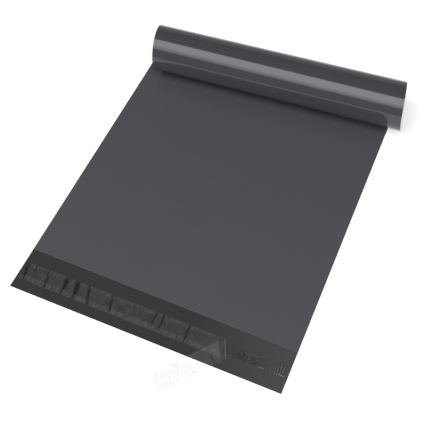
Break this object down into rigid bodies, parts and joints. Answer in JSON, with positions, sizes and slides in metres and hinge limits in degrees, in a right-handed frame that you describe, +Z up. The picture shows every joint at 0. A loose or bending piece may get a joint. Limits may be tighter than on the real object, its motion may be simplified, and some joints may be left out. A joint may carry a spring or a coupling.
{
  "type": "poly mailer",
  "caption": "Grey film mailing bag lying flat, its closed end curled up and over, with a self-seal flap, an adhesive strip and a partly peeled release liner.",
  "frame": {"origin": "middle of the footprint, on the surface that the mailer lies on", "axes": "+X across the mailer, +Y from the flap to the curled closed end, +Z up"},
  "size_m": [0.2948, 0.414, 0.0536],
  "materials": {
    "grey_film": "smooth co-extruded film, grey outside and near black inside",
    "adhesive": "tacky clear hot melt on dark film",
    "liner_film": "translucent siliconised release film with cross creases"
  },
  "bodies": {
    "root": {"mailer_bag": "grey_film", "adhesive_strip": "adhesive", "release_liner": "liner_film"}
  },
  "joints": []
}
